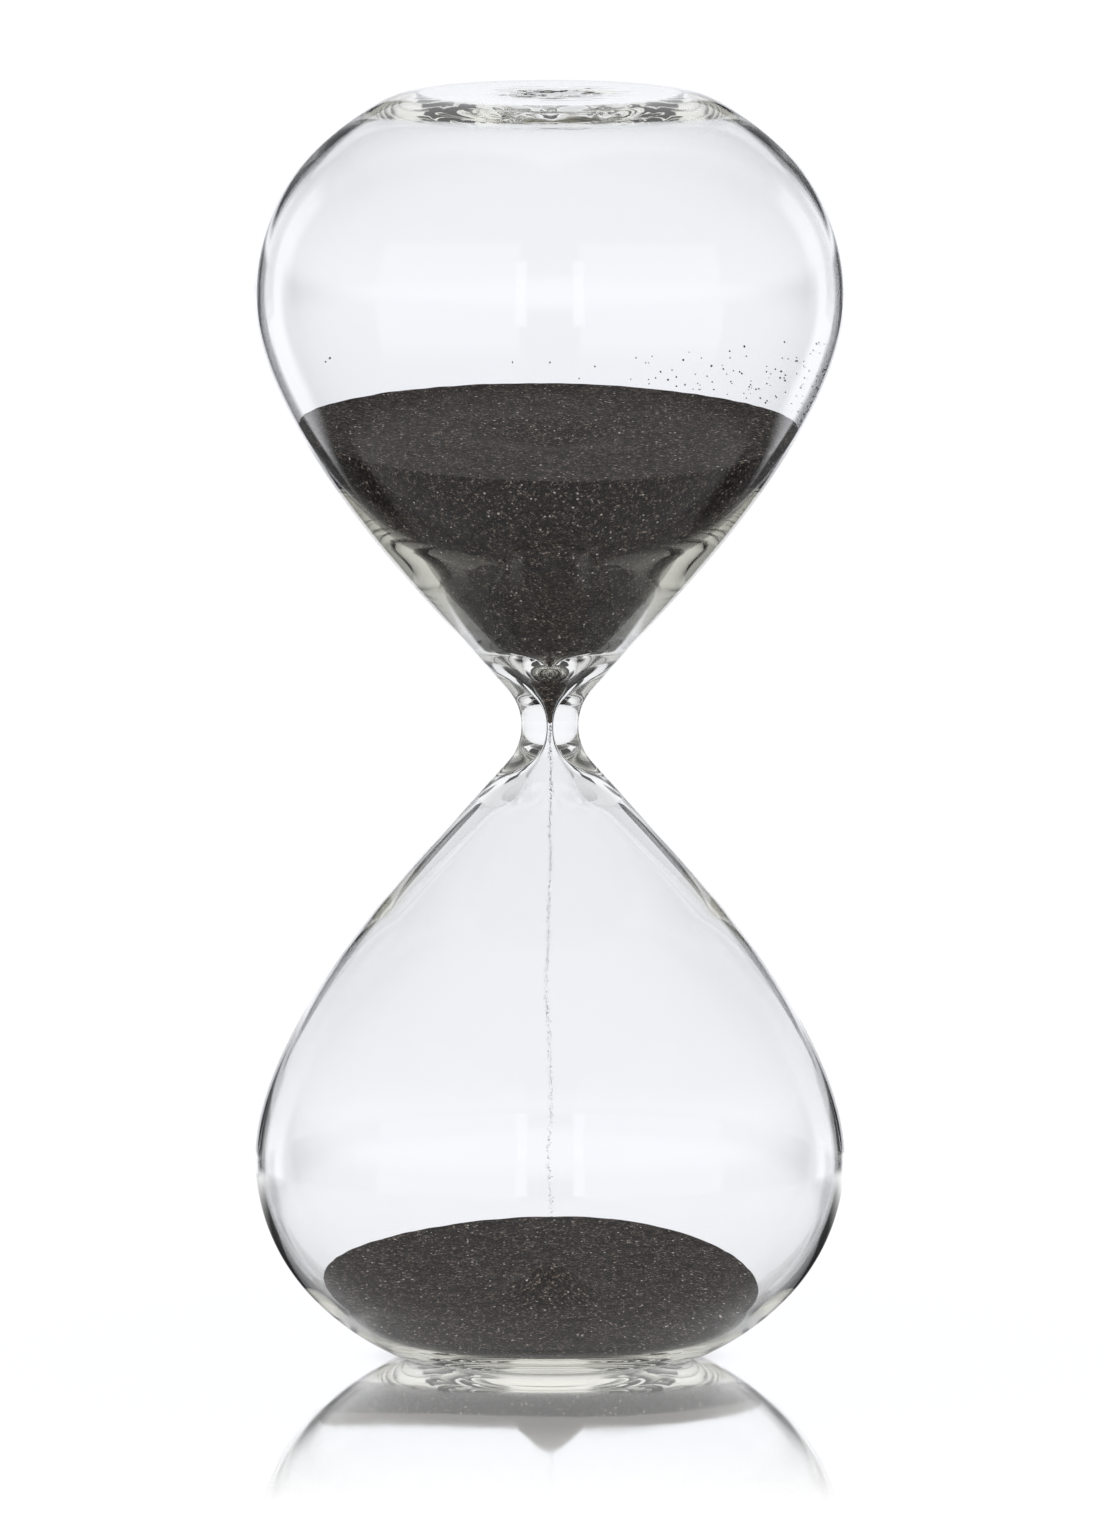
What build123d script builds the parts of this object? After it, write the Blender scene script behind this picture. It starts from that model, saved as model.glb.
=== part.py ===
from build123d import *
from math import cos, radians, sin
import os

# A free-standing hourglass: one closed envelope of clear blown glass, with black sand that is running.
# Two equal teardrop bulbs meet at a thick-walled neck. Each bulb ends in a flat, thick disc.
# The upper disc has the filling hole, closed by a melted gob of glass.
# Millimetres, +Z up. The origin is the centre of the disc that the glass stands on.
# Outline points are (radius, height above the flat end) and hold for both halves, mirrored at mid-height.

# Overall
HEIGHT = 250.0                  # flat end to flat end
MID = HEIGHT / 2                # height of the orifice

# Outer surface
REST_RADIUS = 25.0              # flat disc at each end
RIM = (33.2, 2.0)               # where the rounded rim becomes the shoulder
SHOULDER = (46.8, 12.0)         # where the shoulder becomes the belly
BELLY = (58.0, 39.5)            # widest point
CONE_START = (26.18, 98.0)      # where the flank becomes straight
CONE_ANGLE = 42.0               # of the straight cone, from the axis
FLANK_PULL = (20.8, 14.6)       # how far the flank follows its end directions
WAIST_RADIUS = 5.6              # outside of the neck at its narrowest
WAIST_BEND = 10.8               # radius of the neck's outer curve along the axis

# Inner surface
FLOOR = 2.8                     # glass thickness of the flat ends
FLOOR_RADIUS = 27.0             # flat part of the inside of the ends
INNER_CORNER = (45.7, 13.1)     # where the inner corner becomes the inner belly
INNER_BELLY = (56.9, 39.5)      # wall 1.1 thick at the widest point
INNER_CONE_START = (32.8, 88.0)
INNER_CONE_ANGLE = 45.9
INNER_CONE_LENGTH = 28.1
INNER_FLANK_PULL = (22.0, 8.0)
FUNNEL = (4.3, 114.2)           # where the funnel turns down into the bore
FUNNEL_ANGLE = 40.0             # of the funnel's wall there, from the axis
FUNNEL_PULL = (3.2, 3.0)
BORE_PULL = (3.0, 5.5)
ORIFICE_RADIUS = 0.45
NECK_HALF = 17.0                # the neck runs this far up and down from the orifice

# Filling hole and its seal, in the upper end
SEAL_RADIUS = 9.0               # at the outer face
SEAL_INNER_RADIUS = 6.5         # at the inner face
SEAL_DISH = 0.8                 # hollow in the middle of the outer face
SEAL_SAG = 1.4                  # bulge into the bulb

# Sand: surfaces as the glass was left, running
SAND_GAP = 0.3                  # between the loose sand and the glass
UPPER_TIP = 3.5                 # lowest upper sand, above the orifice
UPPER_LEVEL = 183.6             # of the upper surface on the axis, before the crater
UPPER_FALL_FRONT = 6.4          # degrees, the surface falls towards -Y
UPPER_FALL_RIGHT = 0.7          # degrees, and towards +X
CRATER_RADIUS = 20.0
CRATER_DEPTH = 3.0
LOWER_LEVEL = 11.3              # of the lower surface on the axis, before the cone
LOWER_TROUGH_RADIUS = 625.0     # the lower surface is hollow, banked up towards +Y
LOWER_TROUGH_OFFSET = 85.0      # its lowest line is this far towards -Y
LOWER_FALL_RIGHT = 2.9          # degrees
LOWER_BANK_TOP = 26.0           # above the highest point of the bank
CONE_APEX = 17.8                # height of the small cone under the stream
CONE_HEIGHT = 8.0
CONE_RADIUS = 12.0
CONE_TIP_RADIUS = 0.8
STREAM_RADIUS = 0.3
STREAM_GAP = 0.3                # between the stream and the cone


def uphill(angle):
    """Unit vector along a wall towards the orifice; the wall leans by angle degrees from the axis."""
    return Vector(-sin(radians(angle)), cos(radians(angle)))


def inset(point, angle, gap):
    """A point of the cavity's wall, moved into the cavity; the wall there leans by angle."""
    return Vector(*point) - gap * Vector(cos(radians(angle)), sin(radians(angle)))


def pulled(start, start_angle, pull, end, end_angle):
    """Curve that leaves start and reaches end at the two angles; pull is how far it follows each."""
    leave = Vector(*start) + pull[0] * uphill(start_angle)
    arrive = Vector(*end) - pull[1] * uphill(end_angle)
    Bezier(start, leave, arrive, end)


def end_corner(shoulder, height):
    """Rounded corner from the end of a shoulder arc down to the flat of an end."""
    corner = shoulder @ 1
    slope = shoulder % 1
    foot = corner.X - (corner.Y - height) * slope.X / slope.Y
    flat = REST_RADIUS if height == 0 else FLOOR_RADIUS
    Bezier(corner, (foot, height), (flat, height))
    Line((flat, height), (0, height))


def outer_half():
    """Closed outline of one solid half, from the axis at its flat end to the waist."""
    belly = TangentArc(BELLY, SHOULDER, tangent=(0, -1))
    shoulder = TangentArc(belly @ 1, RIM, tangent=belly % 1)
    end_corner(shoulder, 0)
    pulled(BELLY, 0, FLANK_PULL, CONE_START, CONE_ANGLE)
    waist = Vector(WAIST_RADIUS, MID)
    bend = waist + Vector(WAIST_BEND, 0)
    cone_end = inset(bend, CONE_ANGLE, WAIST_BEND)
    Line(CONE_START, cone_end)
    TangentArc(waist, cone_end, tangent=(0, -1))
    Line(waist, (0, MID))
    Line((0, MID), (0, 0))


def inner_half(gap):
    """Closed outline of one half of the cavity, or of the room that lies gap inside its wall."""
    wall = TangentArc(INNER_BELLY, INNER_CORNER, tangent=(0, -1), mode=Mode.PRIVATE)
    corner = Vector(*INNER_CORNER)
    corner += gap * (wall.arc_center - corner).normalized()
    belly = inset(INNER_BELLY, 0, gap)
    end_corner(TangentArc(belly, corner, tangent=(0, -1)), FLOOR + gap)
    cone_start = inset(INNER_CONE_START, INNER_CONE_ANGLE, gap)
    cone_end = cone_start + INNER_CONE_LENGTH * uphill(INNER_CONE_ANGLE)
    pulled(belly, 0, INNER_FLANK_PULL, cone_start, INNER_CONE_ANGLE)
    Line(cone_start, cone_end)
    funnel = inset(FUNNEL, FUNNEL_ANGLE, gap)
    orifice = inset((ORIFICE_RADIUS, MID), 0, gap)
    pulled(cone_end, INNER_CONE_ANGLE, FUNNEL_PULL, funnel, FUNNEL_ANGLE)
    pulled(funnel, FUNNEL_ANGLE, BORE_PULL, orifice, 0)
    Line(orifice, (0, MID))
    Line((0, MID), (0, FLOOR + gap))


# Sections, as local sketches of radius and height

mid_height = Plane.XZ.offset(-MID)

with BuildSketch() as cavity:
    with BuildLine():
        inner_half(0)
    make_face()
    mirror(about=mid_height)

with BuildSketch() as sand_room:
    with BuildLine():
        inner_half(SAND_GAP)
    make_face()
    mirror(about=mid_height)

with BuildSketch() as envelope:
    with BuildLine():
        outer_half()
    make_face()
    mirror(about=mid_height)
    add(cavity.sketch, mode=Mode.SUBTRACT)


def band(low, high):
    """Keeps the part of the open sketch that lies between two heights."""
    with Locations((0, (low + high) / 2)):
        Rectangle(HEIGHT, high - low, mode=Mode.INTERSECT)


# Glass

with BuildPart() as lower_bulb:
    with BuildSketch(Plane.XZ):
        add(envelope.sketch)
        band(0, MID - NECK_HALF)
    revolve(axis=Axis.Z)

with BuildPart() as upper_bulb:
    with BuildSketch(Plane.XZ):
        add(envelope.sketch)
        band(MID + NECK_HALF, HEIGHT)
        Polygon(
            (0, HEIGHT),
            (SEAL_RADIUS, HEIGHT),
            (SEAL_INNER_RADIUS, HEIGHT - FLOOR),
            (0, HEIGHT - FLOOR),
            align=None,
            mode=Mode.SUBTRACT,
        )
    revolve(axis=Axis.Z)

with BuildPart() as neck:
    with BuildSketch(Plane.XZ):
        add(envelope.sketch)
        band(MID - NECK_HALF, MID + NECK_HALF)
    revolve(axis=Axis.Z)

with BuildPart() as fill_seal:
    with BuildSketch(Plane.XZ):
        with BuildLine():
            dish = TangentArc((0, HEIGHT - SEAL_DISH), (SEAL_RADIUS, HEIGHT), tangent=(1, 0))
            Line(dish @ 1, (SEAL_INNER_RADIUS, HEIGHT - FLOOR))
            sag = TangentArc(
                (0, HEIGHT - FLOOR - SEAL_SAG), (SEAL_INNER_RADIUS, HEIGHT - FLOOR), tangent=(1, 0)
            )
            Line(sag @ 0, dish @ 0)
        make_face()
    revolve(axis=Axis.Z)

# Sand

upper_surface = Plane((0, 0, UPPER_LEVEL)).rotated((UPPER_FALL_FRONT, UPPER_FALL_RIGHT, 0))
crater_ball = (CRATER_RADIUS**2 + CRATER_DEPTH**2) / (2 * CRATER_DEPTH)

with BuildPart() as upper_sand:
    with BuildSketch(Plane.XZ):
        add(sand_room.sketch)
        band(MID + UPPER_TIP, HEIGHT - BELLY[1])
    revolve(axis=Axis.Z)
    split(bisect_by=upper_surface, keep=Keep.BOTTOM)
    with Locations((0, 0, UPPER_LEVEL - CRATER_DEPTH + crater_ball)):
        Sphere(crater_ball, mode=Mode.SUBTRACT)

trough_bottom = Vector(0, -LOWER_TROUGH_OFFSET, LOWER_LEVEL + LOWER_TROUGH_RADIUS)
trough_bottom -= Vector(0, 0, LOWER_TROUGH_OFFSET**2 / (2 * LOWER_TROUGH_RADIUS))

with BuildPart() as lower_sand:
    with BuildSketch(Plane.XZ):
        add(sand_room.sketch)
        band(0, LOWER_BANK_TOP)
    revolve(axis=Axis.Z)
    with Locations(Location(trough_bottom, (0, 90 + LOWER_FALL_RIGHT, 0))):
        Cylinder(LOWER_TROUGH_RADIUS, 2 * HEIGHT, mode=Mode.SUBTRACT)
    with Locations((0, 0, CONE_APEX - CONE_HEIGHT / 2)):
        Cone(CONE_RADIUS, CONE_TIP_RADIUS, CONE_HEIGHT)

stream_foot = CONE_APEX + STREAM_GAP

with BuildPart() as sand_stream:
    with BuildSketch(Plane.XY.offset(stream_foot)):
        Circle(STREAM_RADIUS)
    extrude(amount=MID - stream_foot)

# Write each piece

lower_bulb.part.label = "lower_bulb"
upper_bulb.part.label = "upper_bulb"
neck.part.label = "neck"
fill_seal.part.label = "fill_seal"
upper_sand.part.label = "upper_sand"
lower_sand.part.label = "lower_sand"
sand_stream.part.label = "sand_stream"

os.makedirs("parts", exist_ok=True)
for piece in (lower_bulb, upper_bulb, neck, fill_seal, upper_sand, lower_sand, sand_stream):
    export_step(piece.part, f"parts/{piece.part.label}.step")
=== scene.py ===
import math
import random

import bpy
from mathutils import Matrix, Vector, noise


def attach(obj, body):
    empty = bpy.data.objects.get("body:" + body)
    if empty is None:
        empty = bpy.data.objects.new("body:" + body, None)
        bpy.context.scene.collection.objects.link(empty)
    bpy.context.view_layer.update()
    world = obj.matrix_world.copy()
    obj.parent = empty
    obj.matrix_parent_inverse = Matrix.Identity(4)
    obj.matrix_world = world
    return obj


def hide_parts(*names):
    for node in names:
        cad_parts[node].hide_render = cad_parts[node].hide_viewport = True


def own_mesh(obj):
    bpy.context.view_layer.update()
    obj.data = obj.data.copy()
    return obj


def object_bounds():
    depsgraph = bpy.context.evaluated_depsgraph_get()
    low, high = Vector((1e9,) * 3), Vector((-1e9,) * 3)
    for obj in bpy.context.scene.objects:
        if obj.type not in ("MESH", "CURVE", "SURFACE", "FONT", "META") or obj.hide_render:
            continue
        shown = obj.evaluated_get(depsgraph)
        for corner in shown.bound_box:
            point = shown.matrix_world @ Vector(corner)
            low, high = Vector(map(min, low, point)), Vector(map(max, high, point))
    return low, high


# A free-standing hourglass of clear blown glass with running black sand, in metres.
# The glass is one closed envelope: an outer surface of revolution and the cavity inside it.

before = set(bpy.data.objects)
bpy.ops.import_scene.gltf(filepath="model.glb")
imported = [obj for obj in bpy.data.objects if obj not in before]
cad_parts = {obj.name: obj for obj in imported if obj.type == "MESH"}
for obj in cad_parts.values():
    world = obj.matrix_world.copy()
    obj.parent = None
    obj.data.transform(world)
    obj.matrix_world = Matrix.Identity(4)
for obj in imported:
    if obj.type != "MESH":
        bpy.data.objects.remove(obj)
cad_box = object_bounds()

MM = 0.001
DOWN = Vector((0, -1))

# ---------------------------------------------------------------- driving dimensions

HEIGHT = cad_box[1].z - cad_box[0].z
MID = HEIGHT / 2

# Outer surface of one half: (radius, height above its flat end)
REST_RADIUS = 25.0 * MM
RIM = Vector((33.2, 2.0)) * MM
SHOULDER = Vector((46.8, 12.0)) * MM
BELLY = Vector((58.0, 39.5)) * MM
CONE_START = Vector((26.18, 98.0)) * MM
CONE_ANGLE = math.radians(42.0)
FLANK_PULL = (20.8 * MM, 14.6 * MM)
WAIST_RADIUS = 5.6 * MM
WAIST_BEND = 10.8 * MM

# Cavity of one half
FLOOR = 2.8 * MM
FLOOR_RADIUS = 27.0 * MM
INNER_CORNER = Vector((45.7, 13.1)) * MM
INNER_BELLY = Vector((56.9, 39.5)) * MM
INNER_CONE_START = Vector((32.8, 88.0)) * MM
INNER_CONE_ANGLE = math.radians(45.9)
INNER_CONE_LENGTH = 28.1 * MM
INNER_FLANK_PULL = (22.0 * MM, 8.0 * MM)
FUNNEL = Vector((4.3, 114.2)) * MM
FUNNEL_ANGLE = math.radians(40.0)
FUNNEL_PULL = (3.2 * MM, 3.0 * MM)
BORE_PULL = (3.0 * MM, 5.5 * MM)
ORIFICE_RADIUS = 0.45 * MM

# Seal of the filling hole, and the wrinkled scar around it
SEAL_RADIUS = 9.0 * MM
SEAL_DISH = 0.8 * MM
SEAL_SAG = 1.4 * MM
SCAR_RADIUS = 15.0 * MM         # the folds fade out here
SCAR_OFFSET = 1.5 * MM          # of the scar's middle, towards +X
SCAR_RELIEF = 0.7 * MM
SCAR_RELIEF_INSIDE = 0.07 * MM
SCAR_CREST = 0.35               # folds higher than this share are pressed level with the end
FOLDS = (110, 300)              # per metre, to the right and to the back
FINE_FOLDS = (420, 700)
SCAR_DEPTH = 1.0 * MM           # only glass this close to the face is wrinkled

# Upper sand: its surface has height, slopes and a crater
UPPER_LEVEL = 183.6 * MM
UPPER_SLOPE_BACK = 0.112
UPPER_SLOPE_RIGHT = -0.012
CRATER_DEPTH = 3.0 * MM
CRATER_RADIUS = 11.0 * MM
UPPER_TIP = 0.5 * MM            # lowest wall that the sand touches, above the orifice
UPPER_POINT = 0.2 * MM          # length of the sand's point below that

# Lower sand: a curved bank and a cone under the stream, with lengths left in millimetres
LOWER_LEVEL = 11.3
BANK_BACK = (0.137, 0.0008)             # slope and curve towards +Y
BANK_RIGHT = (0.01, -0.0004, -2.5e-5)   # slope, curve and its change towards +X
HEAP_HEIGHT = 6.6
HEAP_RADIUS = 7.2

RIPPLE = 0.12                   # height of the ripples of both surfaces, in millimetres
RIPPLE_SCALE = 260              # per metre
SAND_SKIN = 0.05 * MM           # the sand seen through the wall lies this close to it

# Falling thread
STREAM_TOP = MID + 0.4 * MM
STREAM_GRAINS = 1300
STREAM_PACKING = 1.35           # above 1, the grains crowd towards the top
STREAM_SIZE = (0.05, 0.10)      # radius of a grain, from and to, in millimetres
STREAM_SPREAD = 0.16 * MM       # at the top, and twice that at the foot
BORE_REACH = 0.3 * MM           # furthest a grain strays inside the orifice
BORE_LENGTH = 3.0 * MM
FALL_REACH = 1.2 * MM           # and below it

# Grains that cling to the glass above the upper sand
CLINGING_GRAINS = 150
CLINGING_SHARE = 0.9            # of them sit at the back to the right
CLINGING_ARC = (72, 160)        # degrees from the front, towards +X
CLINGING_START = 1.0 * MM       # above the sand
CLINGING_RISE = (4, 12)         # millimetres: everywhere, and on top of that at the sides
CLINGING_SIZE = (0.14, 0.26)    # radius of a grain, from and to, in millimetres
SAND_EDGE = 50.0 * MM           # radius where the sand's height is read for them

# Fineness of the meshes
AROUND = 240                    # segments of each glass surface
FLAT_STEPS = 60                 # rings across each flat end
SAND_AROUND = 300
SAND_RINGS = 110                # up the wall, and again across the surface
EDGE_HALVINGS = 30              # steps that find the edge of the sand on the wall


# ---------------------------------------------------------------- outlines

def uphill(angle):
    """Unit vector along a wall towards the orifice; the wall leans by angle from the axis."""
    return Vector((-math.sin(angle), math.cos(angle)))


def inset(point, angle, gap):
    """A point of the cavity's wall, moved into the cavity; the wall there leans by angle."""
    return point - gap * Vector((math.cos(angle), math.sin(angle)))


def arc_centre(start, end, tangent):
    """Centre of the arc that leaves start along tangent and passes through end."""
    normal = Vector((-tangent.y, tangent.x))
    chord = end - start
    return start + chord.length_squared / (2 * chord.dot(normal)) * normal


def arc(start, end, tangent, steps):
    """Arc that leaves start along tangent and reaches end: its points, and its end tangent."""
    chord = end - start
    normal = Vector((-tangent.y, tangent.x))
    centre = arc_centre(start, end, tangent)
    spoke = start - centre
    turn = 2 * math.atan2(chord.dot(normal), chord.dot(tangent))
    points = []
    for i in range(steps + 1):
        a = turn * i / steps
        points.append(centre + Vector((
            spoke.x * math.cos(a) - spoke.y * math.sin(a),
            spoke.x * math.sin(a) + spoke.y * math.cos(a))))
    along = Vector((tangent.x * math.cos(turn) - tangent.y * math.sin(turn),
                    tangent.x * math.sin(turn) + tangent.y * math.cos(turn)))
    return points, along


def bezier(controls, steps):
    """Points of the Bezier curve with these control points."""
    points = []
    for i in range(steps + 1):
        t = i / steps
        row = list(controls)
        while len(row) > 1:
            row = [a.lerp(b, t) for a, b in zip(row, row[1:])]
        points.append(row[0])
    return points


def pulled(start, start_angle, pull, end, end_angle, steps):
    """Curve that leaves start and reaches end at two angles; pull is how far it follows each."""
    leave = start + pull[0] * uphill(start_angle)
    arrive = end - pull[1] * uphill(end_angle)
    return bezier((start, leave, arrive, end), steps)


def straight(start, end, steps):
    """Evenly spaced points from start to end."""
    return [start.lerp(end, i / steps) for i in range(steps + 1)]


def end_corner(corner, slope, height, flat, steps):
    """Rounded corner from a shoulder down to the flat of an end, and the flat to the axis."""
    foot = Vector((corner.x - (corner.y - height) * slope.x / slope.y, height))
    edge = Vector((flat, height))
    rounded = bezier((corner, foot, edge), steps)
    return joined(rounded, straight(edge, Vector((0, height)), FLAT_STEPS))


def joined(*runs):
    """One run of points from several that meet end to start."""
    points = list(runs[0])
    for run in runs[1:]:
        points += run[1:]
    return points


def outer_half():
    """Outer outline from the axis at the flat end up to the waist."""
    belly, slope = arc(BELLY, SHOULDER, DOWN, steps=22)
    shoulder, slope = arc(SHOULDER, RIM, slope, steps=12)
    end = joined(belly, shoulder, end_corner(RIM, slope, 0, REST_RADIUS, steps=10))
    end.reverse()
    waist = Vector((WAIST_RADIUS, MID))
    bend = waist + Vector((WAIST_BEND, 0))
    cone_end = inset(bend, CONE_ANGLE, WAIST_BEND)
    neck, _ = arc(waist, cone_end, DOWN, steps=16)
    neck.reverse()
    return joined(
        end,
        pulled(BELLY, 0, FLANK_PULL, CONE_START, CONE_ANGLE, steps=34),
        straight(CONE_START, cone_end, steps=10),
        neck)


def inner_half(gap=0.0):
    """Outline of the cavity from the axis at the floor up to the orifice, gap inside its wall."""
    centre = arc_centre(INNER_BELLY, INNER_CORNER, DOWN)
    corner = INNER_CORNER + gap * (centre - INNER_CORNER).normalized()
    side = inset(INNER_BELLY, 0, gap)
    belly, slope = arc(side, corner, DOWN, steps=26)
    end = joined(belly, end_corner(corner, slope, FLOOR + gap, FLOOR_RADIUS, steps=14))
    end.reverse()
    cone_start = inset(INNER_CONE_START, INNER_CONE_ANGLE, gap)
    cone_end = cone_start + INNER_CONE_LENGTH * uphill(INNER_CONE_ANGLE)
    funnel = inset(FUNNEL, FUNNEL_ANGLE, gap)
    orifice = inset(Vector((ORIFICE_RADIUS, MID)), 0, gap)
    return joined(
        end,
        pulled(side, 0, INNER_FLANK_PULL, cone_start, INNER_CONE_ANGLE, steps=30),
        straight(cone_start, cone_end, steps=16),
        pulled(cone_end, INNER_CONE_ANGLE, FUNNEL_PULL, funnel, FUNNEL_ANGLE, steps=12),
        pulled(funnel, FUNNEL_ANGLE, BORE_PULL, orifice, 0, steps=18))


def turned_over(half):
    """The same outline in the other half, from the orifice to the other flat end."""
    return [Vector((p.x, HEIGHT - p.y)) for p in reversed(half)]


def radius_at(outline, z):
    """Radius of an outline at height z, on the part of it that rises."""
    for low, high in zip(outline, outline[1:]):
        if low.y <= z <= high.y and high.y > low.y:
            return low.lerp(high, (z - low.y) / (high.y - low.y)).x
    return 0.0


# ---------------------------------------------------------------- mesh helpers

def turned(outline, shape):
    """Vertices and faces of an outline turned about the axis, from pole to pole.

    shape(vertex) gives each vertex its final place."""
    verts, faces, rings = [], [], []
    for p in outline:
        first = len(verts)
        if p.x < 1e-9:
            rings.append([first])
            verts.append(Vector((0, 0, p.y)))
            continue
        for k in range(AROUND):
            a = 2 * math.pi * k / AROUND
            verts.append(Vector((p.x * math.cos(a), p.x * math.sin(a), p.y)))
        rings.append(range(first, first + AROUND))
    for low, high in zip(rings, rings[1:]):
        for k in range(AROUND):
            n = (k + 1) % AROUND
            if len(low) == 1:
                faces.append((low[0], high[n], high[k]))
            elif len(high) == 1:
                faces.append((low[k], low[n], high[0]))
            else:
                faces.append((low[k], low[n], high[n], high[k]))
    return [shape(v) for v in verts], faces


def mesh_piece(name, verts, faces, material, smooth=True):
    """A mesh object, linked to the scene."""
    mesh = bpy.data.meshes.new(name)
    mesh.from_pydata([tuple(v) for v in verts], [], faces)
    mesh.polygons.foreach_set("use_smooth", [smooth] * len(mesh.polygons))
    mesh.materials.append(material)
    mesh.update()
    piece = bpy.data.objects.new(name, mesh)
    bpy.context.scene.collection.objects.link(piece)
    return piece


# ---------------------------------------------------------------- node helpers

FULL = (1, 1, 1, 1)


class Tree:
    """Builds a node tree; add() makes any node, the others give back the socket they end in."""

    def __init__(self, owner):
        owner.use_nodes = True
        self.tree = owner.node_tree
        self.tree.nodes.clear()

    def add(self, kind, inputs=None, **settings):
        node = self.tree.nodes.new("ShaderNode" + kind)
        for key, value in settings.items():
            setattr(node, key, value)
        for key, value in (inputs or {}).items():
            socket = node.inputs[key]
            if isinstance(value, bpy.types.NodeSocket):
                self.tree.links.new(value, socket)
            else:
                socket.default_value = value
        return node

    def math(self, operation, a, b=0.0, offset=0.0, clamp=False):
        inputs = {0: a, 1: b, 2: offset}
        return self.add("Math", inputs, operation=operation, use_clamp=clamp).outputs[0]

    def blend(self, factor, first, second):
        """Blend of two numbers."""
        return self.add("Mix", {0: factor, 2: first, 3: second}).outputs[0]

    def mix(self, factor, first, second, kind="MIX"):
        """Blend of two colours."""
        inputs = {0: factor, 1: first, 2: second}
        return self.add("MixRGB", inputs, blend_type=kind).outputs[0]

    def shade(self, factor, first, second):
        """Blend of two shaders."""
        return self.add("MixShader", {0: factor, 1: first, 2: second}).outputs[0]

    def remap(self, value, low, high, at_low, at_high, kind="LINEAR"):
        inputs = {0: value, 1: low, 2: high, 3: at_low, 4: at_high}
        return self.add("MapRange", inputs, interpolation_type=kind).outputs[0]

    def within(self, value, low, high, soft):
        """1 where a value lies between low and high, with soft edges."""
        rise = self.remap(value, low - soft, low + soft, 0.0, 1.0, "SMOOTHSTEP")
        fall = self.remap(value, high - soft, high + soft, 1.0, 0.0, "SMOOTHSTEP")
        return self.math("MULTIPLY", rise, fall)

    def ramp(self, factor, stops):
        """Colour ramp with (position, grey or colour) stops."""
        node = self.add("ValToRGB", {"Fac": factor})
        elements = node.color_ramp.elements
        while len(elements) > 1:
            elements.remove(elements[0])
        for i, (position, colour) in enumerate(stops):
            rgb = colour if isinstance(colour, tuple) else (colour,) * 3
            stop = elements[0] if i == 0 else elements.new(position)
            stop.position = position
            stop.color = (*rgb, 1.0)
        return node.outputs["Color"]

    def cells(self, place, scale, channel):
        """Round cells: a random number for each, and the distance from its middle."""
        node = self.add("TexVoronoi", {"Vector": place, "Scale": scale})
        split = self.add("SeparateColor", {"Color": node.outputs["Color"]})
        return split.outputs[channel], node.outputs["Distance"]

    def bounced(self, times=1):
        """1 for light that has already been mirrored this many times or more."""
        depth = self.add("LightPath").outputs["Glossy Depth"]
        return self.math("GREATER_THAN", depth, times - 0.5)


# ---------------------------------------------------------------- materials

GLASS_IOR = 1.474
GLASS_BODY = (0.990, 0.995, 1.0, 1)
GLASS_TINT = (0.90, 0.88, 0.70, 1)      # of thick glass
GLASS_SHADOW = (0.95, 0.95, 0.95, 1)    # what it lets through to the sand and the table

GRAINS_PER_METRE = 3200.0
CLUMPS_PER_METRE = 1500.0               # of grains that are darker or lighter together
BRIGHT_PER_METRE = 1100.0               # cells that may hold a bright grain
SAND_TONES = [
    (0.0, (0.0035, 0.0026, 0.0020)),
    (0.6, (0.0165, 0.0125, 0.0098)),
    (0.85, (0.040, 0.032, 0.026)),
    (1.0, (0.14, 0.115, 0.100))]
BRIGHT_GRAIN = (0.50, 0.47, 0.43, 1)
BRIGHT_LUCK = 0.90                      # cells luckier than this hold a bright grain
BRIGHT_SIZE = (1.6, -1.31)              # the luckier, the larger: growth and start
# painted reflection: the tone in which level sand glows wherever it is seen mirrored, instead of
# being lit
PAINTED_MIRRORED_SAND = (0.16, 0.15, 0.14, 1)
LEVEL_FACE = 0.7                        # faces that point up more than this are level, and glow in the painted tone where mirrored


def glass_material():
    """Clear borosilicate: smooth, very slightly wavy, letting lamps through to the sand."""
    material = bpy.data.materials.new("clear_glass")
    t = Tree(material)
    place = t.add("TexCoord").outputs["Object"]
    waves = t.add("TexNoise", {"Vector": place, "Scale": 38.0, "Detail": 1.0, "Roughness": 0.4})
    bump = t.add("Bump", {
        "Height": waves.outputs["Fac"], "Strength": 0.03, "Distance": 1.0 * MM})
    glass = t.add("BsdfPrincipled", {
        "Base Color": GLASS_BODY, "Roughness": 0.0, "IOR": GLASS_IOR,
        "Transmission Weight": 1.0, "Normal": bump.outputs["Normal"]})
    clear = t.add("BsdfTransparent", {"Color": GLASS_SHADOW})
    path = t.add("LightPath").outputs
    lamp = t.math("MAXIMUM", path["Is Shadow Ray"], path["Is Diffuse Ray"])
    surface = t.shade(lamp, glass.outputs[0], clear.outputs[0])
    tint = t.add("VolumeAbsorption", {"Color": GLASS_TINT, "Density": 8.0})
    t.add("OutputMaterial", {"Surface": surface, "Volume": tint.outputs[0]})
    return material


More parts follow.
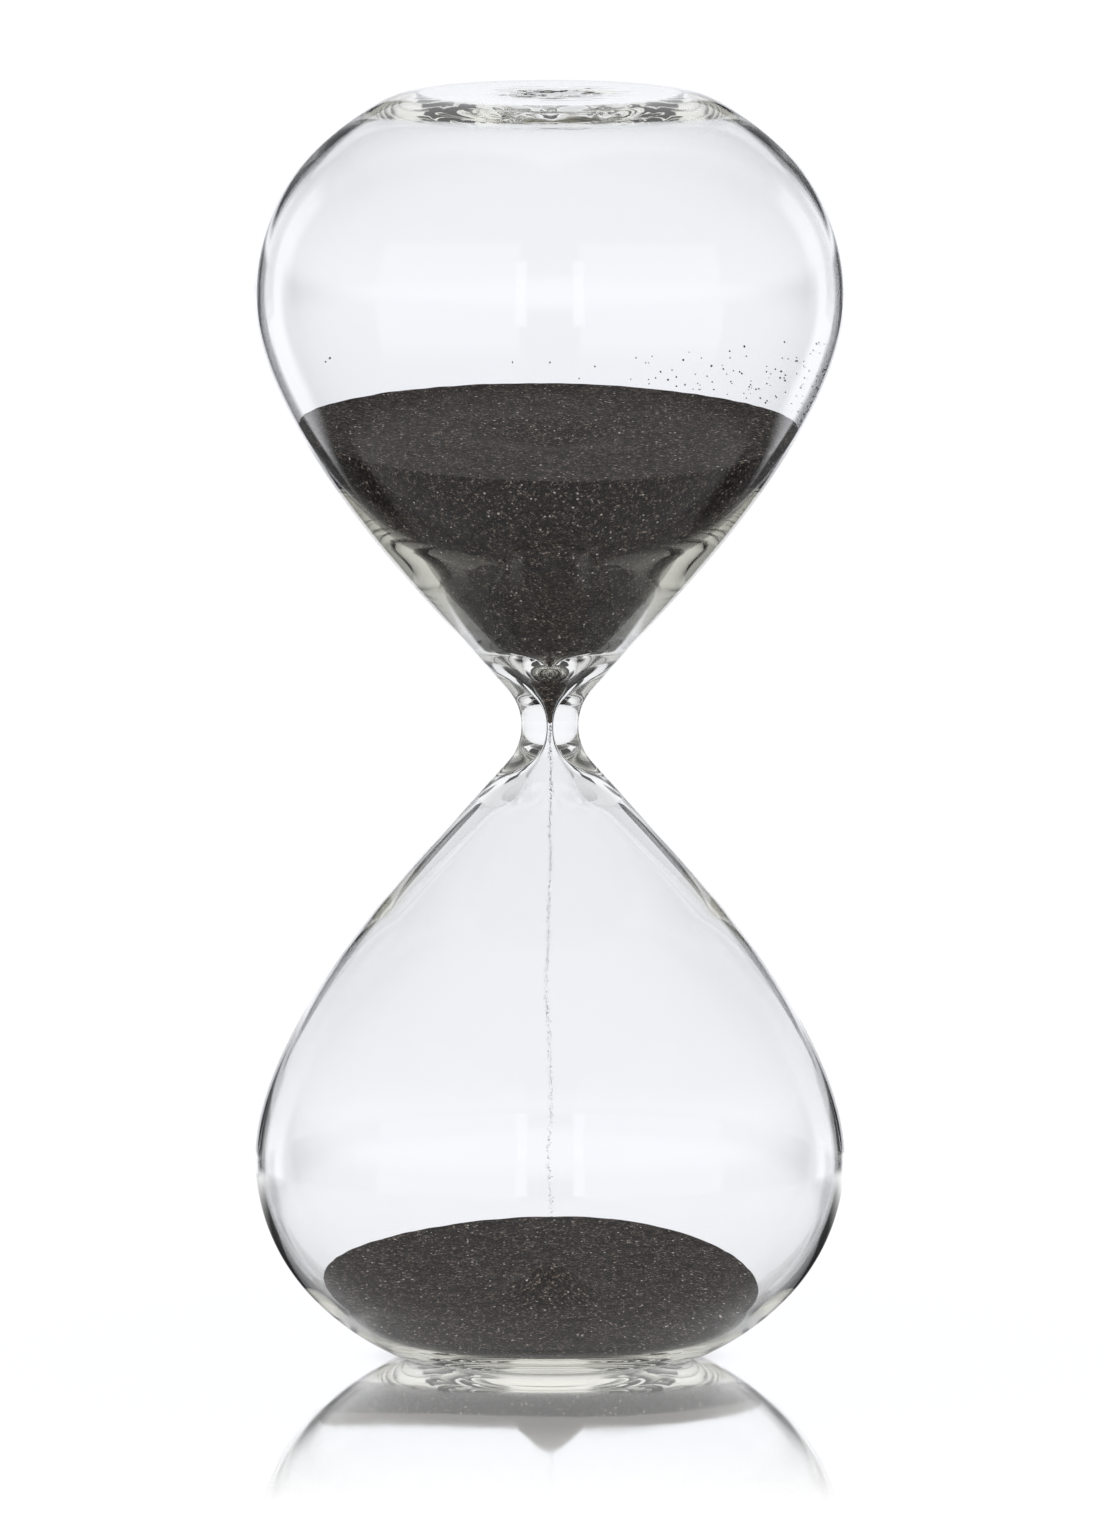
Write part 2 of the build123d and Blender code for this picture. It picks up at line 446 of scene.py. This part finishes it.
def sand_material():
    """Fine black sand: dark grains of uneven tone with a few bright ones.

    Mirrored in the glass, its level faces glow in one painted tone: a painted reflection in place
    of lit sand."""
    material = bpy.data.materials.new("black_sand")
    t = Tree(material)
    place = t.add("TexCoord").outputs["Object"]
    chance, relief = t.cells(place, GRAINS_PER_METRE, "Red")
    clump, _ = t.cells(place, CLUMPS_PER_METRE, "Green")
    patches = t.add("TexNoise", {"Vector": place, "Scale": 180.0, "Detail": 3.0})
    uneven = t.math("MULTIPLY", t.math("MULTIPLY", clump, clump), 2.2)
    uneven = t.math("MULTIPLY_ADD", patches.outputs["Fac"], 0.6, offset=uneven)
    dark = t.mix(1.0, t.ramp(chance, SAND_TONES), uneven, "MULTIPLY")
    luck, from_middle = t.cells(place, BRIGHT_PER_METRE, "Red")
    growth, start = BRIGHT_SIZE
    near = t.math("LESS_THAN", from_middle, t.math("MULTIPLY_ADD", luck, growth, offset=start))
    bright = t.math("MULTIPLY", t.math("GREATER_THAN", luck, BRIGHT_LUCK), near)
    bump = t.add("Bump", {"Height": relief, "Strength": 0.5, "Distance": 0.3 * MM})
    grain = t.add("BsdfPrincipled", {
        "Base Color": t.mix(bright, dark, BRIGHT_GRAIN), "Roughness": 0.8,
        "Specular IOR Level": 0.2, "Normal": bump.outputs["Normal"]})
    normal = t.add("NewGeometry").outputs["Normal"]
    up = t.add("SeparateXYZ", {"Vector": normal}).outputs["Z"]
    # painted reflection: level faces seen in a mirror glow in a fixed tone instead of being lit
    level = t.math("MULTIPLY", t.bounced(), t.math("GREATER_THAN", up, LEVEL_FACE))
    painted_mirror_glow = t.add("Emission", {"Color": PAINTED_MIRRORED_SAND})
    surface = t.shade(level, grain.outputs[0], painted_mirror_glow.outputs[0])
    t.add("OutputMaterial", {"Surface": surface})
    return material


# ---------------------------------------------------------------- glass

def wrinkle(x, y, seed):
    """Folds of the melted scar, run mostly from left to right: about -1 to 1."""
    fold = noise.noise(Vector((x * FOLDS[0], y * FOLDS[1], seed)))
    fine = noise.noise(Vector((x * FINE_FOLDS[0], y * FINE_FOLDS[1], seed + 7)))
    return (1 - 2.6 * abs(fold)) * 0.8 + 0.5 * fine


def dome(reach, radius):
    """1 in the middle of a round feature, falling to 0 at its radius."""
    return max(0.0, 1 - (reach / radius) ** 2)


def scar_outside(v):
    """Dish and folds of the seal in the outer face of the upper end."""
    reach = math.hypot(v.x - SCAR_OFFSET, v.y)
    if v.z < HEIGHT - SCAR_DEPTH or reach > SCAR_RADIUS:
        return v
    folds = SCAR_RELIEF * dome(reach, SCAR_RADIUS) * (wrinkle(v.x, v.y, 2.0) - SCAR_CREST)
    sunk = min(0.0, folds - SEAL_DISH * dome(reach, SEAL_RADIUS))
    return Vector((v.x, v.y, v.z + sunk))


def scar_inside(v):
    """The gob that sags into the bulb under the seal."""
    reach = math.hypot(v.x - SCAR_OFFSET, v.y)
    if v.z < HEIGHT - FLOOR - SCAR_DEPTH or reach > SCAR_RADIUS:
        return v
    folds = SCAR_RELIEF_INSIDE * dome(reach, SCAR_RADIUS) * wrinkle(v.x, v.y, 5.0)
    sag = SEAL_SAG * dome(reach, SEAL_RADIUS)
    return Vector((v.x, v.y, v.z - sag + folds))


def glass_envelope(material):
    outer, inner = outer_half(), inner_half()
    outer_verts, outer_faces = turned(joined(outer, turned_over(outer)), scar_outside)
    inner_verts, inner_faces = turned(joined(inner, turned_over(inner)), scar_inside)
    shift = len(outer_verts)
    flipped = [tuple(i + shift for i in reversed(face)) for face in inner_faces]
    verts, faces = outer_verts + inner_verts, outer_faces + flipped
    piece = mesh_piece("glass_envelope", verts, faces, material)
    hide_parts("lower_bulb", "upper_bulb", "neck", "fill_seal")
    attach(piece, "glass")
    return piece


# ---------------------------------------------------------------- sand

def upper_surface(x, y):
    """Height of the upper sand: falls to the front and a little to the right, with a crater."""
    plane = UPPER_LEVEL + UPPER_SLOPE_BACK * y + UPPER_SLOPE_RIGHT * x
    crater = CRATER_DEPTH * math.exp(-((x * x + y * y) / CRATER_RADIUS ** 2))
    ripple = RIPPLE * MM * noise.noise(Vector((x, y, 0)) * RIPPLE_SCALE)
    return plane - crater + ripple


def lower_surface(x, y):
    """Height of the lower sand: banked to the back, lower in front, with a cone in the middle."""
    right, back = x / MM, y / MM
    bank = LOWER_LEVEL + BANK_BACK[0] * back + BANK_BACK[1] * back ** 2
    bank += BANK_RIGHT[0] * right + BANK_RIGHT[1] * right ** 2 + BANK_RIGHT[2] * right ** 3
    heap = HEAP_HEIGHT * math.exp(-(math.hypot(right, back) / HEAP_RADIUS) ** 2)
    ripple = RIPPLE * noise.noise(Vector((x, y, 4)) * RIPPLE_SCALE)
    return (bank + heap + ripple) * MM


def sand_edge(outline, surface, c, s):
    """Where an outline passes through the sand's surface, in the direction (c, s).

    Returns the point, and the number of the outline's first point above the surface."""
    def buried(p):
        return p.y <= surface(p.x * c, p.x * s)

    above = next((i for i, p in enumerate(outline) if not buried(p)), len(outline) - 1)
    low, high = outline[above - 1], outline[above]
    for _ in range(EDGE_HALVINGS):
        middle = low.lerp(high, 0.5)
        if buried(middle):
            low = middle
        else:
            high = middle
    return low, above


def filled(name, outline, surface, material):
    """Sand that fills a cavity up to a surface z = surface(x, y).

    outline runs from the sand's lowest point on the axis up the wall."""
    lengths = [0.0]
    for a, b in zip(outline, outline[1:]):
        lengths.append(lengths[-1] + (b - a).length)

    def along(distance):
        """Point of the outline at a distance from its start."""
        i = next(i for i in range(1, len(outline)) if lengths[i] >= distance)
        t = (distance - lengths[i - 1]) / (lengths[i] - lengths[i - 1])
        return outline[i - 1].lerp(outline[i], t)

    columns = []
    for k in range(SAND_AROUND):
        a = 2 * math.pi * k / SAND_AROUND
        c, s = math.cos(a), math.sin(a)
        edge, above = sand_edge(outline, surface, c, s)
        reach = lengths[above - 1] + (edge - outline[above - 1]).length
        columns.append((c, s, edge, reach))

    verts = [Vector((0, 0, outline[0].y))]
    rings = []

    def add_ring(places):
        rings.append(range(len(verts), len(verts) + SAND_AROUND))
        verts.extend(places)

    for j in range(1, SAND_RINGS):
        wall = [(c, s, along(reach * j / SAND_RINGS)) for c, s, _, reach in columns]
        add_ring([Vector((p.x * c, p.x * s, p.y)) for c, s, p in wall])
    add_ring([Vector((edge.x * c, edge.x * s, edge.y)) for c, s, edge, _ in columns])
    for j in range(SAND_RINGS - 1, 0, -1):
        spots = [(edge.x * j / SAND_RINGS * c, edge.x * j / SAND_RINGS * s)
                 for c, s, edge, _ in columns]
        add_ring([Vector((x, y, surface(x, y))) for x, y in spots])
    top = len(verts)
    verts.append(Vector((0, 0, surface(0, 0))))

    faces = []
    for k in range(SAND_AROUND):
        n = (k + 1) % SAND_AROUND
        faces.append((0, rings[0][n], rings[0][k]))
        for low, high in zip(rings, rings[1:]):
            faces.append((low[k], low[n], high[n], high[k]))
        faces.append((rings[-1][k], rings[-1][n], top))
    return mesh_piece(name, verts, faces, material)


def upper_sand(material):
    wall = turned_over(inner_half(SAND_SKIN))
    wall = [p for p in wall if p.y > MID + UPPER_TIP]
    point = Vector((0, wall[0].y - UPPER_POINT))
    piece = filled("upper_sand_fill", [point] + wall, upper_surface, material)
    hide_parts("upper_sand")
    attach(piece, "upper_charge")
    return piece


def lower_sand(material):
    wall = [p for p in inner_half(SAND_SKIN) if p.y < MID]
    piece = filled("lower_sand_fill", wall, lower_surface, material)
    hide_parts("lower_sand")
    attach(piece, "lower_charge")
    return piece


# ---------------------------------------------------------------- single grains

OCTAHEDRON = [Vector(v) for v in (
    (1, 0, 0), (-1, 0, 0), (0, 1, 0), (0, -1, 0), (0, 0, 1), (0, 0, -1))]
OCTAHEDRON_SIDES = (
    (0, 2, 4), (2, 1, 4), (1, 3, 4), (3, 0, 4), (2, 0, 5), (1, 2, 5), (3, 1, 5), (0, 3, 5))


def grains(name, places, material):
    """One mesh of separate eight-sided grains, at (point, radius)."""
    rng = random.Random(5)
    verts, faces = [], []
    for point, radius in places:
        first = len(verts)
        spin = Vector((rng.uniform(-1, 1), rng.uniform(-1, 1), rng.uniform(-1, 1)))
        turn = spin.to_track_quat("Z", "Y")
        stretch = Vector([rng.uniform(0.7, 1.3) for _ in range(3)])
        verts += [point + radius * (turn @ (corner * stretch)) for corner in OCTAHEDRON]
        faces += [tuple(first + i for i in side) for side in OCTAHEDRON_SIDES]
    return mesh_piece(name, verts, faces, material, smooth=False)


def waver(amount, scale, seed, z):
    """Wandering of the thread at height z, by up to about amount."""
    return amount * noise.noise(Vector((*seed, z * scale)))


def stream(material):
    """The falling thread: grains that stray further from the axis as they fall."""
    rng = random.Random(11)
    foot = lower_surface(0, 0)
    length = STREAM_TOP - foot
    places = []
    for _ in range(STREAM_GRAINS):
        drop = rng.random() ** STREAM_PACKING
        z = STREAM_TOP - drop * length
        right = waver(0.55 * MM, 90, (3.1, 0.7), z)
        right += waver(1.3 * MM, 30, (8.4, 2.2), z) * drop ** 0.5
        back = waver(0.9 * MM, 22, (1.4, 9.2), z) * drop
        spread = STREAM_SPREAD * (1 + drop)
        x = right + rng.gauss(0, spread)
        y = back + rng.gauss(0, spread)
        limit = BORE_REACH if z > MID - BORE_LENGTH else FALL_REACH
        reach = math.hypot(x, y)
        if reach > limit:
            x, y = x * limit / reach, y * limit / reach
        places.append((Vector((x, y, z)), rng.uniform(*STREAM_SIZE) * MM))
    piece = grains("sand_stream_grains", places, material)
    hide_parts("sand_stream")
    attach(piece, "glass")
    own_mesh(piece)
    return piece


def clinging_grains(material):
    """Single grains that cling to the inside of the upper bulb, mostly at the back to the right."""
    rng = random.Random(23)
    wall = inner_half()
    least, more = CLINGING_RISE
    places = []
    for _ in range(CLINGING_GRAINS):
        common = rng.random() < CLINGING_SHARE
        a = math.radians(rng.uniform(*CLINGING_ARC) if common else rng.uniform(-180, 180))
        right, back = math.sin(a), -math.cos(a)
        above = rng.random() ** 1.4 * (least + more * right ** 2) * MM
        z = upper_surface(SAND_EDGE * right, SAND_EDGE * back) + CLINGING_START + above
        size = rng.uniform(*CLINGING_SIZE) * MM
        r = radius_at(wall, HEIGHT - z) - size
        places.append((Vector((r * right, r * back, z)), size))
    piece = grains("clinging_grains", places, material)
    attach(piece, "glass")
    return piece


# ---------------------------------------------------------------- stage

WHITE = 1.02                        # brightness of the backdrop and the table
COOL = (0.975, 0.980, 1.015, 1)     # the backdrop as the glass shows it

# What the glass mirrors of the studio. A span is in degrees to either side of straight behind
# (backdrop and flags) or of straight in front (panels and strips). A rise is in degrees above
# the horizon. Each is (from, to, softness of its edges).
BACKDROP_SPAN = (-100.0, 50.0, 4.0)
BACKDROP_RISE = (-26.0, 100.0, 3.0)
FLAG_SPACING = 22.5                 # half the angle from one low black flag to the next
FLAG_SPAN = (14.5, 90.0, 1.5)       # within that spacing
FLAG_RISE = (-30.0, 0.2, 0.8)
FLAG_BLACK = 0.93                   # share of the backdrop's light that a flag takes away
HIGH_FLAG_SPAN = (6.0, 25.0, 1.0)
HIGH_FLAG_RISE = (3.0, 17.0, 0.8)
PANEL_SPAN = (12.0, 72.0, 1.0)
PANEL_RISE = (-22.0, 45.0, 2.0)
STRIP_SPAN = (9.0, 14.0, 1.0)
STRIP_RISE = (-8.0, 22.0, 1.0)
WALL_RISE = (3.0, 200.0, 5.0)

# Brightness of the rest. A fade is (from rise, to rise, from brightness, to brightness).
BACKDROP_FADE = (10.0, 20.0, 1.0, 0.75)
WALL_FADE = (12.0, 40.0, 0.80, 0.35)
PANEL_LIGHT = 0.45
ROOM_LIGHT = 0.05

# Light on the sand: dark below, bright above, and more from the back
SAND_LIGHT = [(0.45, 0.30), (0.75, 1.0), (1.0, 1.3)]        # (height in the room, brightness)
SAND_LIGHT_BACK = 0.6
SAND_LIGHT_TABLE = (0.35, 0.35, 0.35, 1)

# Table, by (distance from the axis in metres, brightness or strength)
PAINTED_CONTACT_SHADOW = [(0.025, 0.30), (0.031, 0.85), (0.036, 1.0)]      # painted shadow around the foot
UNDER_GLASS = [(0.062, 1.0), (0.085, 0.08)]                 # painted brightness, seen by light guided in the wall
MIRROR_FADE = [
    (0.035, 1.0), (0.10, 0.95), (0.13, 0.78), (0.155, 0.55), (0.19, 0.22), (0.215, 0.0)]
MIRROR_STRENGTH = 2.0

# Painted reflection: where the glass mirrors the table, its glow is set dim behind the glass, and
# lighter before and beside it. Light that meets it at a flat angle far behind sees it white.
BESIDE = 0.45                                   # how far the lighter part reaches back, per side
FRONT_LIGHT = (-0.01, 0.01, 0.02, 0.25)         # from behind, to before, brightness of each
FAR_BEHIND = (0.1, 0.225, 0.0, 1.0)             # from metre, to metre, from none, to all
GRAZING = [(0.53, 0.0), (0.68, 1.0)]            # by how edge-on the table is met

# As the glass shows it, the table turns into the white around it: (from, to, softness), in
# millimetres, seen straight through and mirrored
TABLE_EDGE = (150.0, 1e6, 20.0)
TABLE_EDGE_MIRRORED = (270.0, 1e6, 30.0)
TABLE_REACH = 30.0
TABLE_GAP = 0.05 * MM                           # under the glass, so no two faces coincide


def studio():
    """White surroundings for all that is seen straight through the glass.

    The glass mirrors a real room: a backdrop behind, with black flags that stand low all along it
    and two that hang higher; in front, two soft panels with a bright strip beside each; and
    elsewhere a wall, light above the horizon."""
    world = bpy.data.worlds.new("studio")
    bpy.context.scene.world = world
    t = Tree(world)
    direction = t.add("TexCoord").outputs["Generated"]
    axes = t.add("SeparateXYZ", {"Vector": direction}).outputs
    aside = t.math("ABSOLUTE", t.math("DEGREES", t.math("ARCTAN2", axes["X"], axes["Y"])))
    front = t.math("SUBTRACT", 180.0, aside)
    rise = t.math("DEGREES", t.math("ARCSINE", axes["Z"]))

    def area(angle, span, rise_span):
        """1 in the part of the room between these angles."""
        return t.math("MULTIPLY", t.within(angle, *span), t.within(rise, *rise_span))

    between_flags = t.math("PINGPONG", aside, FLAG_SPACING)
    low_flags = area(between_flags, FLAG_SPAN, FLAG_RISE)
    flags = t.math("MAXIMUM", low_flags, area(aside, HIGH_FLAG_SPAN, HIGH_FLAG_RISE))
    backdrop = t.math("SUBTRACT", 1.0, t.math("MULTIPLY", flags, FLAG_BLACK))
    backdrop = t.math("MULTIPLY", backdrop, t.remap(rise, *BACKDROP_FADE))

    panel = area(front, PANEL_SPAN, PANEL_RISE)
    room = t.math("MULTIPLY_ADD", panel, PANEL_LIGHT, offset=ROOM_LIGHT)
    room = t.math("MAXIMUM", room, area(front, STRIP_SPAN, STRIP_RISE))
    wall = t.math("MULTIPLY", t.remap(rise, *WALL_FADE), t.within(rise, *WALL_RISE))
    room = t.math("MAXIMUM", room, wall)

    mirrored = t.blend(area(aside, BACKDROP_SPAN, BACKDROP_RISE), room, backdrop)
    seen = t.mix(1.0, t.blend(t.bounced(), 1.0, mirrored), COOL, "MULTIPLY")
    height = t.math("MULTIPLY_ADD", axes["Z"], 0.5, offset=0.5)
    depth = t.math("MULTIPLY_ADD", axes["Y"], SAND_LIGHT_BACK, offset=1.0)
    light = t.mix(1.0, t.ramp(height, SAND_LIGHT), depth, "MULTIPLY")
    path = t.add("LightPath").outputs
    seen = t.mix(path["Is Diffuse Ray"], seen, light)
    seen = t.mix(path["Is Camera Ray"], seen, FULL)
    back = t.add("Background", {"Color": seen, "Strength": WHITE})
    t.add("OutputWorld", {"Surface": back.outputs[0]})


def mirrored_table(t, place, distance):
    """Painted brightness of the table's glow as the glass mirrors it, in place of the table's own
    light.
    """
    spot = t.add("SeparateXYZ", {"Vector": place}).outputs
    aside = t.math("MULTIPLY", t.math("ABSOLUTE", spot["X"]), BESIDE)
    before = t.remap(t.math("SUBTRACT", aside, spot["Y"]), *FRONT_LIGHT)
    dim = t.mix(t.bounced(times=2), before, t.ramp(distance, UNDER_GLASS))
    grazing = t.ramp(t.add("LayerWeight", {"Blend": 0.5}).outputs["Facing"], GRAZING)
    white = t.math("MULTIPLY", grazing, t.remap(spot["Y"], *FAR_BEHIND))
    return t.mix(white, dim, FULL)


def table_material():
    """White gloss acrylic that glows, with a painted shadow around the foot and a painted
    brightness where the glass mirrors it; its mirror fades with distance from the glass.
    """
    material = bpy.data.materials.new("white_acrylic")
    t = Tree(material)
    place = t.add("TexCoord").outputs["Object"]
    distance = t.add("VectorMath", {0: place}, operation="LENGTH").outputs["Value"]
    path = t.add("LightPath").outputs
    # painted reflection: mirrored rays see the glow that mirrored_table sets, not the table's own
    # white
    glow = t.mix(t.bounced(), FULL, mirrored_table(t, place, distance))
    glow = t.mix(path["Is Diffuse Ray"], glow, SAND_LIGHT_TABLE)
    # painted shadow: camera rays see the table's glow and its mirror darker close around the foot
    painted_contact_shadow = t.mix(path["Is Camera Ray"], FULL, t.ramp(distance, PAINTED_CONTACT_SHADOW))
    glow = t.mix(1.0, glow, painted_contact_shadow, "MULTIPLY")
    light = t.add("Emission", {"Color": glow, "Strength": WHITE})

    scratches = t.add("TexNoise", {"Vector": place, "Scale": 35.0, "Detail": 4.0})
    wear = t.ramp(scratches.outputs["Fac"], [(0.4, 0.03), (0.7, 0.06)])
    gloss = t.add("BsdfGlossy", {"Color": painted_contact_shadow, "Roughness": wear})
    fresnel = t.add("Fresnel", {"IOR": 1.45}).outputs[0]
    share = t.math("MULTIPLY", fresnel, MIRROR_STRENGTH)
    share = t.math("MULTIPLY", share, t.ramp(distance, MIRROR_FADE), clamp=True)
    acrylic = t.shade(share, light.outputs[0], gloss.outputs[0])

    millimetres = t.math("MULTIPLY", distance, 1000.0)
    away = t.within(millimetres, *TABLE_EDGE)
    away = t.blend(t.bounced(), away, t.within(millimetres, *TABLE_EDGE_MIRRORED))
    by_glass = t.math("MAXIMUM", path["Is Transmission Ray"], t.bounced())
    gone = t.math("MULTIPLY", away, by_glass)
    clear = t.add("BsdfTransparent").outputs[0]
    t.add("OutputMaterial", {"Surface": t.shade(gone, acrylic, clear)})
    return material


def floor():
    """The level top of a large table."""
    corners = [Vector((x, y, 0)) * TABLE_REACH for x, y in ((-1, -1), (1, -1), (1, 1), (-1, 1))]
    table = mesh_piece("table", corners, [(0, 1, 2, 3)], table_material())
    table.location.z = -TABLE_GAP


def aimed(name, data, aim, azimuth, elevation, distance):
    """A lamp or camera that looks at aim from these angles, in degrees; azimuth 0 is the front."""
    thing = bpy.data.objects.new(name, data)
    a, e = math.radians(azimuth), math.radians(elevation)
    away = Vector((math.sin(a) * math.cos(e), -math.cos(a) * math.cos(e), math.sin(e)))
    thing.location = aim + distance * away
    thing.rotation_mode = "QUATERNION"
    thing.rotation_quaternion = away.to_track_quat("Z", "Y")
    bpy.context.scene.collection.objects.link(thing)
    return thing


def softbox(name, azimuth):
    """Tall area light in front of the glass; only its light on the sand shows, not the lamp."""
    data = bpy.data.lights.new(name, "AREA")
    data.shape = "RECTANGLE"
    data.size, data.size_y = 0.8, 1.2
    data.energy = 12.0
    lamp = aimed(name, data, Vector((0, 0, MID)), azimuth, elevation=12, distance=1.2)
    lamp.visible_camera = False
    lamp.visible_transmission = False
    lamp.visible_glossy = False


def camera():
    """Long lens, slightly above, square to the front."""
    data = bpy.data.cameras.new("camera")
    data.lens = 839.0
    data.clip_end = 200.0
    aim = Vector((0.8, 0, 117.4)) * MM
    bpy.context.scene.camera = aimed("camera", data, aim, 0, elevation=6.8, distance=7.0)


def render_settings():
    scene = bpy.context.scene
    scene.view_settings.view_transform = "Standard"
    scene.cycles.max_bounces = 64
    scene.cycles.transmission_bounces = 32
    scene.cycles.glossy_bounces = 48
    scene.cycles.transparent_max_bounces = 24
    scene.cycles.caustics_reflective = False
    scene.cycles.caustics_refractive = False


glass = glass_material()
sand = sand_material()
glass_envelope(glass)
upper_sand(sand)
lower_sand(sand)
stream(sand)
clinging_grains(sand)
studio()
floor()
softbox("softbox_left", -42)
softbox("softbox_right", 42)
camera()
render_settings()
